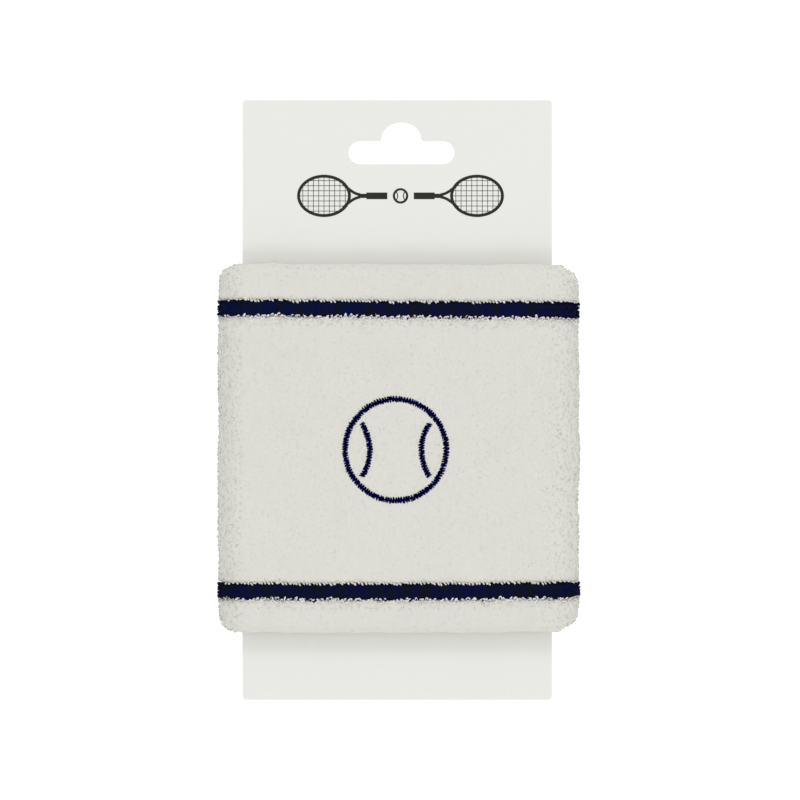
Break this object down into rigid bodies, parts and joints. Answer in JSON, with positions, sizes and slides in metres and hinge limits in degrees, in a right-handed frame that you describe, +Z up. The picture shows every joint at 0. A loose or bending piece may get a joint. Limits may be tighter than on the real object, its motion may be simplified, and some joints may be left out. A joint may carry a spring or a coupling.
{
  "type": "sweat wristband on header card",
  "caption": "Terry sweat wristband with contrast stripes and an embroidered ball, pulled flat over the hanging header card that it slides off.",
  "frame": {"origin": "crown of the hang slot in the header card, half way through the board, where a display peg carries it", "axes": "+Z up along the card as it hangs, +X to the right seen from the front, the front with the embroidery faces -Y"},
  "size_m": [0.0817, 0.0118, 0.1357],
  "materials": {
    "card_board": "matte",
    "white_terry": "matte",
    "navy_terry": "matte",
    "ground_knit": "matte",
    "seam_thread": "matte",
    "elastic": "satin",
    "backing_felt": "matte",
    "embroidery_thread": "satin"
  },
  "bodies": {
    "card": {"header_card": "card_board"},
    "band": {"pile_upper_end": "white_terry", "pile_stripe_upper": "navy_terry", "pile_centre": "white_terry", "pile_stripe_lower": "navy_terry", "pile_lower_end": "white_terry", "ground_knit": "ground_knit", "linking_seam": "seam_thread", "elastic_yarn": "elastic", "embroidery_backing": "backing_felt", "embroidery_ring": "embroidery_thread", "embroidery_arc_left": "embroidery_thread", "embroidery_arc_right": "embroidery_thread"}
  },
  "joints": [
    {"name": "band_slide", "type": "slide", "parent": "card", "child": "band", "axis": [0, 0, 1], "range_m": [-0.0993, 0.022]}
  ]
}
